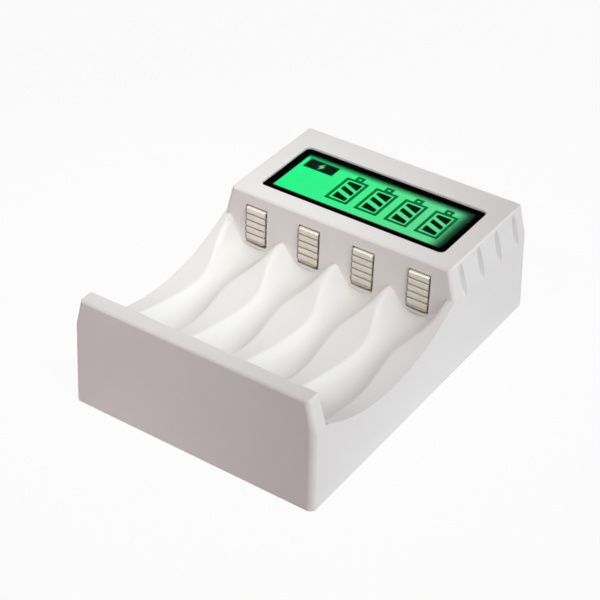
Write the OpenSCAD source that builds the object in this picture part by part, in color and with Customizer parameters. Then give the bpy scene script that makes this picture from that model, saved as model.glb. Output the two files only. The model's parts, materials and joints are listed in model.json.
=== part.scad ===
// Charger for four AA cells: a white housing with four moulded cradles, a tall front wall,
// and a head that holds a backlit display. Millimetres, +Z up, front towards -Y,
// origin under the middle of the footprint.

/* [Cells and cradles] */
// Length of a cell over its button
cell_l = 50.5; // [49:0.1:51.5]
// Room for the two contacts at the ends of a cell
contact_room = 2.1; // [1.8:0.1:3]
// Distance between neighbouring cells
bay_pitch = 16; // [15.6:0.1:17]
// Radius of the cradle under a cell
bay_r = 7.7; // [7.5:0.1:8.2]
// Height of the ridges between the cells at their ends
ridge_z = 19.2; // [18.6:0.1:19.6]
// Height of the line that a cell rests on
bay_z = 13.9; // [13.6:0.1:14.6]
// Depth of the finger relief below the line that a cell rests on
relief = 2.4; // [1.8:0.1:2.6]
// Radius of the finger relief across its deepest place
relief_round = 7; // [6.7:0.1:7.3]
// Length of the finger relief
relief_l = 32; // [26:0.5:36]
// Distance from the front wall to the middle of the relief
relief_y = 20.2; // [18:0.2:24]
// Thickness of the skin under the cradles
skin = 1.5; // [1.2:0.1:1.8]

/* [Housing] */
// Distance from the outer cell's axis to the side of the housing
side_margin = 10; // [9.8:0.1:11.5]
// Thickness of the front wall at its foot
front_t = 6.8; // [6.6:0.1:8]
// Length of the head at its foot
head_l = 35.8; // [35:0.1:40]
// Height of the head and of the front wall
body_h = 29.5; // [29:0.1:32]
// Height of the crease above which the sides lean in
crease_z = 21.2; // [20.6:0.1:22]
// How far each side leans in above the crease
side_lean = 2; // [1:0.1:2.4]
// How far each side stands out at its foot, below the crease
side_draft = 0.5; // [0.2:0.1:0.8]
// How far the front leans back over its height
front_lean = 1.8; // [0.8:0.1:2]
// How far the back of the front wall leans forward over its height
rear_lean = 0.5; // [0.1:0.1:0.6]
// How far the front face of the head leans back over its height
head_lean = 0.9; // [0.4:0.1:1.4]
// Lowest point of the cut-away sides
dip_z = 13.7; // [13.2:0.1:14.4]
// Thickness of the housing's walls
wall = 1.6; // [1.4:0.1:1.8]
// Thickness of the head's roof
roof_t = 2; // [1.8:0.1:2.4]
// Radius of the upright corners above the crease
corner_r = 1.4; // [1.2:0.1:2.4]
// Radius of the upright corners below the crease
foot_corner_r = 1.8; // [1.6:0.1:2.8]
// Radius of the upright edges that face the cells
inner_r = 1.2; // [0.6:0.1:1.5]
// Radius of the top edges
edge_r = 0.8; // [0.4:0.1:1.2]

/* [Side grooves] */
// Distance from the head's front to the first groove
groove_y = 5.5; // [4.8:0.1:6.2]
// Distance between grooves
groove_pitch = 8.4; // [7.6:0.1:8.6]
// Width of a groove at its widest
groove_w = 2.1; // [1.6:0.1:2.6]
// Width of the floor of a groove
groove_floor_w = 1; // [0.6:0.1:1.2]
// Depth of a groove below the line between its ends
groove_depth = 1.2; // [0.8:0.1:1.3]
// Height of the foot of a groove
groove_z = 20.2; // [19.6:0.1:20.6]
// Distance from the roof down to the upper end of a groove
groove_drop = 0.5; // [0.3:0.1:1]

/* [Display] */
// Width of the display cover
window_w = 53.6; // [50:0.1:54]
// Depth of the display cover
window_d = 21.4; // [19:0.1:22]
// Distance from the head's front to the display cover
window_y = 6.2; // [5.6:0.1:6.8]
// Thickness of the display cover
window_t = 0.5; // [0.4:0.05:0.8]
// Corner radius of the display cover
window_r = 1.4; // [0.6:0.1:2]
// Width of the black frame
mask_w = 2; // [1.8:0.1:2.4]
// Thickness of the black frame
mask_t = 0.2; // [0.1:0.05:0.3]
// How far the cover lies below the roof
window_sink = 0.05; // [0:0.05:0.2]
// Thickness of the display glass
glass_t = 2; // [1.6:0.1:2.4]
// Thickness of the light guide
guide_t = 3; // [2.4:0.1:3.4]

/* [Contacts] */
// Width of every contact strip
contact_w = 6; // [5:0.1:6.6]
// Thickness of the contact sheet
sheet_t = 0.3; // [0.2:0.05:0.4]
// Height of the upper end of the ribs
rib_top = 25.8; // [25:0.1:26.2]
// Height of one rib
rib_pitch = 1.88; // [1.7:0.02:1.95]
// Radius of the rounded edges of a rib
rib_r = 0.5; // [0.4:0.05:0.6]
// How far the ribs stand out of the head's front face
rib_out = 0.65; // [0.5:0.05:0.8]
// How far a spring leaf reaches into the empty bay
bow_out = 3; // [2.4:0.1:3.4]
// Height of the crest of a spring leaf
bow_z = 19.2; // [18.6:0.1:19.8]
// Room around a contact in its window
contact_gap = 0.15; // [0.1:0.05:0.4]

/* [Base and boards] */
// Thickness of the base cover
base_t = 2; // [1.6:0.1:2.4]
// Gap around the base cover, the cover of the display and the boards
fit_gap = 0.15; // [0.1:0.05:0.3]
// Thickness of both circuit boards
board_t = 1.6; // [1.2:0.1:1.8]
// Height of the posts that carry the main board
post_h = 2.6; // [2.2:0.1:3]
// Diameter of a screw boss
boss_d = 6; // [5.4:0.1:6.4]
// Diameter of a case screw
screw_d = 2.5; // [2:0.1:2.8]
// Diameter of a board screw
small_screw_d = 1.8; // [1.6:0.1:2.2]
// Width of the power inlet
inlet_w = 9; // [8.4:0.1:9.4]
// Height of the power inlet
inlet_h = 3.2; // [3:0.1:3.4]
// Depth of the power inlet
inlet_d = 7.4; // [6.8:0.1:8]

/* [Hidden] */
$fn = 64;

bays = 4;
grooves = 4;
ribs = 5;
// How far a cutter runs past the faces that it cuts
past = 1;
// How far outlines overlap where they join
weld = 0.2;

// Main places along the housing
bay_l = cell_l + contact_room;
body_w = (bays - 1) * bay_pitch + 2 * side_margin;
body_d = front_t + bay_l + head_l;
half_w = body_w / 2;
top_half_w = half_w - side_lean;
foot_half_w = half_w + side_draft;
y_back = body_d / 2;
y_front = -y_back;
y_bay = y_front + front_t;
y_head = y_bay + bay_l;
y_mid = (y_bay + y_head) / 2;
bay_axis_z = bay_z + bay_r;
dip_drop = crease_z - dip_z;
dip_r = (pow(bay_l / 2, 2) + pow(dip_drop, 2)) / (2 * dip_drop);
relief_r = (pow(relief_l / 2, 2) + pow(relief, 2)) / (2 * relief);
relief_axis_z = bay_z - relief + relief_round;
roof_z = body_h - roof_t;
head_inner_w = top_half_w - wall;

// Outward directions of the flat walls
n_front = unit([0, -body_h, front_lean]);
n_rear = unit([0, body_h - bay_z, rear_lean]);
n_head = unit([0, bay_z - body_h, head_lean]);
n_back = [0, 1, 0];
n_top = [0, 0, 1];

// Display stack, from the roof down
window_mid_y = y_head + window_y + window_d / 2;
window_z = body_h - window_sink - window_t;
mask_z = window_z - mask_t;
field_w = window_w - 2 * mask_w;
field_d = window_d - 2 * mask_w;
sight_gap = 0.3;
glass_rim = 0.6;
glass_w = field_w + 2 * glass_rim;
glass_d = field_d + 2 * glass_rim;
glass_z = mask_z - glass_t;
guide_z = glass_z - guide_t;
display_board_z = guide_z - board_t;
led_w = 1.2;
led_l = 3;
led_h = guide_t * 2 / 3;
pin_w = 0.4;
pin_count = 18;
pin_pitch = glass_w / (pin_count + 1);
display_board_w = 2 * (head_inner_w - fit_gap);
leg_room = 3.2;
display_board_y = y_head + wall + leg_room;
display_board_d = y_back - wall - fit_gap - display_board_y;
display_boss_d = 4;
display_boss_inset = 0.3;
display_boss_x = head_inner_w - display_boss_d / 2 - display_boss_inset;
display_boss_y = glass_d / 2 + sight_gap + small_screw_d / 2;

// Boards, posts and bosses
board_z = base_t + post_h;
board_top = board_z + board_t;
board_edge = 0.6;
board_half_w = half_w - wall - board_edge;
board_y0 = front_y(board_top) + wall + board_edge;
board_y1 = y_back - wall - board_edge;
post_d = 4.4;
post_x = bay_pitch * 1.25;
post_y = body_d / 3;
step_drop = 2.2;
head_step_z = crease_z - step_drop;
boss_sink = 0.4;
boss_inset = 5;
boss_x = half_w - wall - boss_d / 2 + boss_sink;
boss_front_y = y_bay + boss_inset;
boss_back_y = y_back - wall - boss_d / 2 + boss_sink;
boss_front_z = bay_z - skin / 2;
boss_back_z = head_step_z - wall;
boss_gap = 0.4;
screw_play = 0.1;
case_head_h = 0.8;
case_head_sink = 0.2;
screw_bite = 8;
small_head_h = 1.1;
small_bite = 1.8;
hole_room = 0.4;

// Contacts
leg_gap = 0.5;
leg_y = y_head + wall + leg_gap;
leaf_gap = 0.3;
leaf_leg_y = y_bay - wall - leaf_gap - sheet_t;
rib_foot = rib_top - ribs * rib_pitch;
lip_r = 0.6;
lip_turn = 75;
tongue_r = 7;
strip_gap_top = 0.35;
strip_gap_foot = 0.5;
strip_window_top = rib_top + strip_gap_top;
strip_window_foot = rib_foot - lip_r - sheet_t - strip_gap_foot;
crest_y = y_bay + bow_out;
bow_sink = 0.1;
bow_foot_z = bay_z - bow_sink;
bow_reach = crest_y - leaf_leg_y - sheet_t;
bow_drop = bow_z - bow_foot_z;
bow_r = (pow(bow_drop, 2) + pow(bow_reach, 2)) / (2 * bow_reach);
bow_mid_y = crest_y - bow_r;
tip_tuck = 0.9;
bow_tip_y = y_bay - tip_tuck;
leaf_slack = 0.5;
leaf_window_foot = bow_foot_z - leaf_slack;
leaf_window_top = bow_z + bow_r + leaf_slack;
slot_gap = 0.3;

// Circuit
inlet_wall = 0.3;
inlet_z = board_top + inlet_h / 2;
inlet_sink = 0.2;
inlet_y = y_back - inlet_sink;
inlet_back = 1;
inlet_gap = 0.3;
tongue_side = 1.2;
tongue_w = inlet_w - 2 * tongue_side;
tongue_t = 0.7;
link_x = 9;
link_inset = 9;
link_y = y_back - link_inset;
link_count = 8;
link_pitch = 2;
link_pin_w = 0.6;
link_hole_w = 0.7;
link_strip_h = 2.5;
chip_w = 5;
chip_l = 10;
chip_t = 1.6;
chip_rise = 0.1;
chip_inset = 10;
chip_y = y_head + chip_inset;
lead_count = 8;
lead_pitch = 1.2;
lead_l = 1.1;
lead_t = 0.2;
lead_out = 0.4;
transistor_w = 6.4;
transistor_l = 6;
transistor_t = 2.2;
transistor_y = y_head - transistor_l;
resistor_w = 6.4;
resistor_l = 3.2;
resistor_t = 0.6;
resistor_y = transistor_y - 3 * resistor_l;
filter_inset = 9;
filter_y = chip_y + filter_inset;
filter_pitch = 8.5;
coil_x = -4.5;
coil_d = 6.4;
coil_h = 4;
coil_base_w = 7;
coil_base_h = 1;
can_d = 6.3;
can_h = 7.7;
can_base_w = 6.6;
can_base_h = 0.8;
base_corner_r = 0.6;
cover_corner_r = 0.4;

function unit(v) = v / norm(v);
function bay_x(i) = (i - (bays + 1) / 2) * bay_pitch;
function front_y(z) = y_front + front_lean * z / body_h;
function rear_y(z) = y_bay - rear_lean * (z - bay_z) / (body_h - bay_z);
function head_y(z) = y_head + head_lean * (z - bay_z) / (body_h - bay_z);
function side_x(z) = half_w - side_lean * (z - crease_z) / (body_h - crease_z);
function n_side(k) = unit([k * (body_h - crease_z), 0, side_lean]);
function n_foot(k) = unit([k * crease_z, 0, side_draft]);

// Sweeps an outline drawn in Y and Z across X, about the middle
module across(w) {
  rotate([90, 0, 90]) translate([0, 0, -w / 2]) linear_extrude(w) children();
}

// Sweeps an outline drawn in X and Z along Y
module lengthwise(y0, y1) {
  translate([0, y1, 0]) rotate([90, 0, 0]) linear_extrude(y1 - y0) children();
}

// A cutter that rounds the straight edge from p to q between faces that look along m and n.
// The arc is a touch larger than the radius, so that it crosses both faces instead of grazing them.
module round_edge(p, q, m, n, r, reach = 1, low = 1) {
  cross_over = 1.03;
  z = unit(q - p);
  x = unit(m + n);
  y = cross(z, x);
  c = m * x;
  s = sqrt(1 - c * c);
  far = r + reach;
  place = [[x[0], y[0], z[0], p[0]], [x[1], y[1], z[1], p[1]], [x[2], y[2], z[2], p[2]], [0, 0, 0, 1]];
  multmatrix(place) translate([-r / c, 0, -low]) linear_extrude(norm(q - p) + low + reach)
    difference() {
      polygon([[r * c, -r * s], [far * c, -far * s], [far / c, 0], [far * c, far * s], [r * c, r * s]]);
      circle(r * cross_over);
    }
}

// Seen from the front: almost upright sides that lean in above the crease
module front_view() {
  polygon([[-foot_half_w, 0], [foot_half_w, 0], [half_w, crease_z], [top_half_w, body_h],
           [-top_half_w, body_h], [-half_w, crease_z]]);
}

// Seen from the side: the space between the front wall and the head, wider by grow
module between_walls(grow = 0) {
  top = body_h + past;
  polygon([[rear_y(0) - grow, 0], [head_y(0) + grow, 0], [head_y(top) + grow, top], [rear_y(top) - grow, top]]);
}

// One cradle: a long round trough with a narrower barrel sunk into its middle, wider by grow
module cradle(grow = 0) {
  translate([0, 0, bay_axis_z]) rotate([-90, 0, 0])
    cylinder(r = bay_r + grow, h = body_d / 2 + bay_l, center = true);
  translate([0, y_bay + relief_y, relief_axis_z]) rotate([90, 0, 0]) rotate_extrude()
    intersection() {
      translate([relief_round - relief_r + grow, 0]) circle(relief_r);
      translate([0, -relief_l / 2 - past]) square([relief_round + grow, relief_l + 2 * past]);
    }
}

// Room for the cells between the front wall and the head: a round dip right across the housing,
// a cradle under each cell, and a flat level that tops the ridges between the cells.
// Larger by grow, with the walls further apart by gap
module cell_room(grow = 0, gap = 0) {
  intersection() {
    union() {
      across(body_w + 2 * past) translate([y_mid, dip_z + dip_r]) circle(dip_r + grow);
      translate([bay_x(1), y_front, ridge_z - grow]) cube([bay_x(bays) - bay_x(1), body_d, body_h]);
      for (i = [1:bays]) translate([bay_x(i), 0, 0]) cradle(grow);
    }
    across(body_w + 2 * past) between_walls(gap);
  }
}

// Rounds the four outer corners, below and above the crease
module outer_corners() {
  for (k = [-1, 1]) {
    foot = k * foot_half_w;
    x0 = k * half_w;
    x1 = k * top_half_w;
    crease = [x0, front_y(crease_z), crease_z];
    round_edge([foot, y_front, 0], crease, n_front, n_foot(k), foot_corner_r);
    round_edge(crease, [x1, front_y(body_h), body_h], n_front, n_side(k), corner_r);
    round_edge([foot, y_back, 0], [x0, y_back, crease_z], n_back, n_foot(k), foot_corner_r);
    round_edge([x0, y_back, crease_z], [x1, y_back, body_h], n_back, n_side(k), corner_r);
  }
}

// Rounds the upright edges that face the cells, above the crease
module inner_corners() {
  for (k = [-1, 1]) {
    x0 = k * half_w;
    x1 = k * top_half_w;
    inner_corner([x0, rear_y(crease_z), crease_z], [x1, rear_y(body_h), body_h], n_rear, n_side(k));
    inner_corner([x0, head_y(crease_z), crease_z], [x1, head_y(body_h), body_h], n_head, n_side(k));
  }
}

module inner_corner(p, q, m, n) {
  round_edge(p, q, m, n, inner_r, low = 0);
}

// Rounds the top edges that run along the sides
module side_top_edges() {
  for (k = [-1, 1])
    round_edge([k * top_half_w, y_front, body_h], [k * top_half_w, y_back, body_h], n_side(k), n_top, edge_r);
}

// Rounds the top edge at height body_h that runs across the housing at y, on a wall that looks along n
module cross_top_edge(y, n) {
  round_edge([-half_w, y, body_h], [half_w, y, body_h], n, n_top, edge_r);
}

// The outer form: a block with leaning walls, cut away for the cells, with all its edges rounded
module rounded_body() {
  difference() {
    difference() {
      difference() {
        difference() {
          intersection() {
            lengthwise(y_front, y_back) front_view();
            across(2 * foot_half_w)
              polygon([[y_front, 0], [y_back, 0], [y_back, body_h], [front_y(body_h), body_h]]);
          }
          outer_corners();
        }
        side_top_edges();
      }
      cell_room();
    }
    inner_corners();
    cross_top_edge(front_y(body_h), n_front);
    cross_top_edge(rear_y(body_h), n_rear);
    cross_top_edge(head_y(body_h), n_head);
    cross_top_edge(y_back, n_back);
  }
}

// One upright groove in the leaning side of the head, on the +X side: a wheel with a tapered rim cuts it,
// so that it runs out at its foot and at its upper end
module side_groove() {
  foot = [half_w, groove_z];
  head_z = body_h - groove_drop;
  head = [side_x(head_z), head_z];
  chord = head - foot;
  out = unit([chord[1], -chord[0]]);
  wheel_r = (pow(norm(chord) / 2, 2) + pow(groove_depth, 2)) / (2 * groove_depth);
  middle = (foot + head) / 2 + out * (wheel_r - groove_depth);
  floor_half = groove_floor_w / 2;
  taper = (groove_w - groove_floor_w) / (2 * groove_depth);
  hub_r = wheel_r - groove_depth - past;
  hub_half = groove_w / 2 + taper * past;
  translate([middle[0], 0, middle[1]]) rotate([90, 0, 0]) rotate_extrude()
    polygon([[0, -hub_half], [hub_r, -hub_half], [wheel_r, -floor_half], [wheel_r, floor_half],
             [hub_r, hub_half], [0, hub_half]]);
}

module side_grooves() {
  for (k = [0, 1], j = [0:grooves - 1])
    mirror([k, 0, 0]) translate([0, y_head + groove_y + j * groove_pitch, 0]) side_groove();
}

// Hollow of the housing: everything inside the walls, narrower behind the grooves, but not the cradles' skin
module hollow() {
  difference() {
    intersection() {
      union() {
        translate([wall - half_w, y_front, -past]) cube([2 * (half_w - wall), body_d, head_step_z + past]);
        translate([-head_inner_w, y_front, -past]) cube([2 * head_inner_w, body_d, body_h]);
      }
      across(body_w) inner_side_view();
    }
    cell_room(skin, wall);
  }
}

module inner_side_view() {
  polygon([[front_y(-past) + wall, -past], [y_back - wall, -past], [y_back - wall, roof_z],
           [front_y(roof_z) + wall, roof_z]]);
}

// Rounded rectangle about the middle
module rounded(w, d, r) {
  square([w - 2 * r, d], center = true);
  square([w, d - 2 * r], center = true);
  for (x = [-1, 1], y = [-1, 1]) translate([x * (w / 2 - r), y * (d / 2 - r)]) circle(r);
}

// Flat-sided round-ended outline of the power inlet, seen from behind
module inlet_outline(grow = 0) {
  square([inlet_w - inlet_h, inlet_h + 2 * grow], center = true);
  for (x = [-1, 1]) translate([x * (inlet_w - inlet_h) / 2, 0]) circle(inlet_h / 2 + grow);
}

module boss_places() {
  for (x = [-boss_x, boss_x]) {
    translate([x, boss_front_y, 0]) children();
    translate([x, boss_back_y, 0]) children();
  }
}

module display_boss_places() {
  for (x = [-1, 1], y = [-1, 1])
    translate([x * display_boss_x, window_mid_y + y * display_boss_y, 0]) children();
}

module post_places() {
  for (x = [-post_x, post_x], y = [-post_y, 0, post_y]) translate([x, y, 0]) children();
}

module board_screw_places() {
  for (x = [-post_x, post_x], y = [-post_y, post_y]) translate([x, y, 0]) children();
}

module top_housing() {
  window_depth = body_h - mask_z + past;
  color("white") difference() {
    union() {
      difference() {
        difference() {
          rounded_body();
          side_grooves();
        }
        hollow();
      }
      for (x = [-boss_x, boss_x]) {
        translate([x, boss_front_y, base_t]) cylinder(d = boss_d, h = boss_front_z - base_t);
        translate([x, boss_back_y, base_t]) cylinder(d = boss_d, h = boss_back_z - base_t);
      }
      display_boss_places() translate([0, 0, guide_z])
        cylinder(d = display_boss_d, h = roof_z - guide_z + roof_t / 2);
    }
    boss_places() translate([0, 0, base_t - past]) cylinder(d = screw_d, h = screw_bite + past);
    display_boss_places() translate([0, 0, guide_z - past])
      cylinder(d = small_screw_d, h = small_bite + hole_room + past);
    for (i = [1:bays]) translate([bay_x(i), 0, 0]) contact_windows();
    translate([0, window_mid_y, mask_z]) linear_extrude(window_depth)
      rounded(window_w + 2 * fit_gap, window_d + 2 * fit_gap, window_r + fit_gap);
    translate([0, window_mid_y, roof_z - past]) linear_extrude(roof_t + past)
      rounded(glass_w + 2 * sight_gap, glass_d + 2 * sight_gap, sight_gap);
    translate([0, 0, inlet_z]) lengthwise(y_back - 2 * wall, y_back + past) inlet_outline(inlet_gap);
  }
}

// Window for a strip in the head's front wall, and for a leaf in the front wall
module contact_windows() {
  w = contact_w + 2 * contact_gap;
  strip_depth = past + head_lean + wall;
  leaf_depth = past + rear_lean + wall;
  translate([-w / 2, y_head - past, strip_window_foot])
    cube([w, strip_depth, strip_window_top - strip_window_foot]);
  translate([-w / 2, y_bay + past - leaf_depth, leaf_window_foot])
    cube([w, leaf_depth, leaf_window_top - leaf_window_foot]);
}

module base_cover() {
  inset = wall + fit_gap;
  y0 = front_y(base_t) + inset;
  y1 = y_back - inset;
  color("whitesmoke") difference() {
    union() {
      translate([0, (y0 + y1) / 2, 0]) linear_extrude(base_t)
        rounded(body_w - 2 * inset, y1 - y0, cover_corner_r);
      post_places() translate([0, 0, base_t / 2]) cylinder(d = post_d, h = board_z - base_t / 2);
    }
    boss_places() {
      translate([0, 0, -past]) cylinder(d = screw_d + 2 * screw_play, h = base_t + 2 * past);
      translate([0, 0, -past])
        cylinder(d = 2 * (screw_d + screw_play), h = past + case_head_sink + case_head_h);
    }
    board_screw_places() translate([0, 0, board_z - small_bite - hole_room])
      cylinder(d = small_screw_d, h = small_bite + hole_room + past);
  }
}

// Pan-head screw with a cross recess, head down at the origin
module pan_screw(d, head_t, bite) {
  slot_w = d / 4;
  slot_l = 1.2 * d;
  difference() {
    union() {
      cylinder(d = 2 * d, h = head_t);
      cylinder(d = d - screw_play, h = head_t + bite);
    }
    for (a = [0, 90]) rotate(a) translate([-slot_l / 2, -slot_w / 2, -past])
      cube([slot_l, slot_w, past + head_t / 2]);
  }
}

module case_screws() {
  grip = base_t - case_head_sink - case_head_h;
  color("silver") boss_places() translate([0, 0, case_head_sink])
    pan_screw(screw_d, case_head_h, grip + screw_bite - hole_room);
}

module board_screws() {
  color("silver") board_screw_places() translate([0, 0, board_top + small_head_h]) mirror([0, 0, 1])
    pan_screw(small_screw_d, small_head_h, board_t + small_bite);
}

module display_screws() {
  color("silver") display_boss_places() translate([0, 0, display_board_z - small_head_h])
    pan_screw(small_screw_d, small_head_h, board_t + small_bite);
}

module display_window() {
  color("lightgrey") translate([0, window_mid_y, window_z]) linear_extrude(window_t)
    rounded(window_w, window_d, window_r);
}

module display_mask() {
  color("black") translate([0, window_mid_y, mask_z]) linear_extrude(mask_t) difference() {
    rounded(window_w, window_d, window_r);
    rounded(field_w, field_d, window_r / 2);
  }
}

module lcd_panel() {
  color("mediumspringgreen") translate([-glass_w / 2, window_mid_y - glass_d / 2, glass_z])
    cube([glass_w, glass_d, glass_t]);
}

module lcd_backlight() {
  color("springgreen") translate([-glass_w / 2, window_mid_y - glass_d / 2, guide_z])
    cube([glass_w, glass_d, guide_t]);
}

module backlight_led() {
  color("lightyellow") translate([-glass_w / 2 - led_w, window_mid_y - led_l / 2, guide_z])
    cube([led_w, led_l, led_h]);
}

// Pins from the rear edge of the display glass down to its board
module lcd_pins() {
  color("silver") for (j = [1:pin_count])
    translate([j * pin_pitch - glass_w / 2 - pin_w / 2, window_mid_y + glass_d / 2, guide_z])
      cube([pin_w, pin_w, roof_z - fit_gap - guide_z]);
}

module display_board() {
  hole_d = small_screw_d + 2 * screw_play;
  color("darkgreen") difference() {
    translate([-display_board_w / 2, display_board_y, display_board_z])
      cube([display_board_w, display_board_d, board_t]);
    display_boss_places() translate([0, 0, display_board_z - past])
      cylinder(d = hole_d, h = board_t + 2 * past);
  }
}

module main_board() {
  hole_h = board_t + 2 * past;
  hole_d = small_screw_d + 2 * screw_play;
  slot_w = contact_w + 2 * slot_gap;
  slot_t = sheet_t + 2 * slot_gap;
  color("darkgreen") difference() {
    translate([-board_half_w, board_y0, board_z]) cube([2 * board_half_w, board_y1 - board_y0, board_t]);
    boss_places() translate([0, 0, board_z - past]) cylinder(d = boss_d + 2 * boss_gap, h = hole_h);
    board_screw_places() translate([0, 0, board_z - past]) cylinder(d = hole_d, h = hole_h);
    for (i = [1:bays], y = [leg_y, leaf_leg_y])
      translate([bay_x(i) - slot_w / 2, y - slot_gap, board_z - past]) cube([slot_w, slot_t, hole_h]);
  }
}

module link_places() {
  for (j = [0:link_count - 1]) translate([link_x + j * link_pitch, link_y, 0]) children();
}

module link_pins() {
  color("gold") link_places() translate([-link_pin_w / 2, -link_pin_w / 2, board_top])
    cube([link_pin_w, link_pin_w, display_board_z - board_top]);
}

module link_strip() {
  length = link_count * link_pitch;
  color("black") difference() {
    translate([link_x - link_pitch / 2, link_y - link_pitch / 2, board_top])
      cube([length, link_pitch, link_strip_h]);
    link_places() translate([-link_hole_w / 2, -link_hole_w / 2, board_top - past])
      cube([link_hole_w, link_hole_w, link_strip_h + 2 * past]);
  }
}

module inlet_shell() {
  color("silver") translate([0, 0, inlet_z]) difference() {
    lengthwise(inlet_y - inlet_d, inlet_y) inlet_outline();
    lengthwise(inlet_y - inlet_d + inlet_back, inlet_y + past) inlet_outline(-inlet_wall);
  }
}

module inlet_tongue() {
  color("black") translate([-tongue_w / 2, inlet_y - inlet_d + inlet_back, inlet_z - tongue_t / 2])
    cube([tongue_w, inlet_d - 2 * inlet_back, tongue_t]);
}

module controller_chip() {
  color("black") translate([-chip_l / 2, chip_y - chip_w / 2, board_top + chip_rise])
    cube([chip_l, chip_w, chip_t]);
}

// Bent leads along both long sides of the chip
module chip_leads() {
  y0 = chip_w / 2;
  y1 = y0 + lead_out;
  y2 = y0 + lead_l;
  z1 = chip_t / 2;
  color("silver") for (j = [0:lead_count - 1], k = [0, 1])
    translate([(j - (lead_count - 1) / 2) * lead_pitch, chip_y, board_top]) mirror([0, k, 0])
      across(pin_w) polygon([[y0, z1], [y1, z1], [y1 + lead_t, lead_t], [y2, lead_t], [y2, 0], [y1, 0],
                             [y1 - lead_t, z1 - lead_t], [y0, z1 - lead_t]]);
}

module charge_transistors() {
  color("black") for (i = [1:bays])
    translate([bay_x(i) - transistor_w / 2, transistor_y - transistor_l / 2, board_top])
      cube([transistor_w, transistor_l, transistor_t]);
}

module sense_resistors() {
  color("dimgray") for (i = [1:bays])
    translate([bay_x(i) - resistor_w / 2, resistor_y - resistor_l / 2, board_top])
      cube([resistor_w, resistor_l, resistor_t]);
}

module inductor() {
  color("dimgray") translate([coil_x, filter_y, board_top]) {
    linear_extrude(coil_base_h) rounded(coil_base_w, coil_base_w, base_corner_r);
    cylinder(d = coil_d, h = coil_h);
  }
}

module filter_capacitors() {
  color("steelblue") for (k = [-1, 1]) translate([coil_x + k * filter_pitch, filter_y, board_top]) {
    linear_extrude(can_base_h) rounded(can_base_w, can_base_w, base_corner_r);
    cylinder(d = can_d, h = can_h);
  }
}

// Seen from the side: ribbed strip, its bend through the window and its leg down to the board
module positive_outline() {
  valley = rib_r - rib_out;
  lean = atan2(head_lean, body_h - bay_z);
  translate([head_y(rib_top), rib_top]) rotate(-lean) {
    intersection() {
      for (j = [0:ribs - 1]) translate([0, -(j + 0.5) * rib_pitch]) rib_outline();
      translate([-rib_out, -ribs * rib_pitch]) square([rib_r + sheet_t, ribs * rib_pitch]);
    }
    translate([valley, -ribs * rib_pitch]) lip_outline();
  }
  bend_y = head_y(rib_top) + valley;
  translate([bend_y, rib_top - sheet_t / 2]) square([leg_y + sheet_t - bend_y, sheet_t]);
  translate([leg_y, board_z]) square([sheet_t, rib_top - board_z]);
}

// One rib of a strip, open at the back
module rib_outline() {
  depth = 2 * rib_pitch;
  translate([depth / 2 - rib_out, 0]) difference() {
    rounded(depth, rib_pitch, rib_r);
    rounded(depth - 2 * sheet_t, rib_pitch - 2 * sheet_t, rib_r - sheet_t);
  }
}

// Forward curl at the foot of a strip, from the origin downwards
module lip_outline() {
  far = 2 * (lip_r + sheet_t);
  translate([-lip_r, 0]) intersection() {
    difference() {
      circle(lip_r + sheet_t);
      circle(lip_r);
    }
    polygon([[0, 0], [far, weld], [far, -far], [far * cos(lip_turn), -far * sin(lip_turn)]]);
  }
}

module positive_contact(i) {
  foot = rib_foot - lip_r - sheet_t;
  color("gainsboro") translate([bay_x(i), 0, 0]) difference() {
    across(contact_w) positive_outline();
    lengthwise(y_head - wall - past, y_head + wall / 2) difference() {
      translate([-contact_w, foot - past]) square([2 * contact_w, 2 * past]);
      translate([0, foot + tongue_r]) circle(tongue_r);
    }
  }
}

// Seen from the side: bowed leaf, and its leg down to the board
module negative_outline() {
  foot = bow_foot_z - weld;
  top = bow_z + bow_r + past;
  far = crest_y + past;
  translate([leaf_leg_y, board_z]) square([sheet_t, bow_foot_z + weld - board_z]);
  intersection() {
    translate([bow_mid_y, bow_z]) difference() {
      circle(bow_r);
      circle(bow_r - sheet_t);
    }
    polygon([[leaf_leg_y, foot], [far, foot], [far, top], [bow_tip_y, top], [bow_tip_y, bow_z],
             [leaf_leg_y, bow_z]]);
  }
}

module negative_contact(i) {
  color("gainsboro") translate([bay_x(i), 0, 0]) across(contact_w) negative_outline();
}

top_housing();
base_cover();
case_screws();
display_window();
display_mask();
lcd_panel();
lcd_backlight();
backlight_led();
lcd_pins();
display_board();
display_screws();
main_board();
board_screws();
link_strip();
link_pins();
inlet_shell();
inlet_tongue();
controller_chip();
chip_leads();
charge_transistors();
sense_resistors();
inductor();
filter_capacitors();
positive_contact(1);  // positive_contact_1
positive_contact(2);  // positive_contact_2
positive_contact(3);  // positive_contact_3
positive_contact(4);  // positive_contact_4
negative_contact(1);  // negative_contact_1
negative_contact(2);  // negative_contact_2
negative_contact(3);  // negative_contact_3
negative_contact(4);  // negative_contact_4
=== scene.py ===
import json
import math

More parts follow.
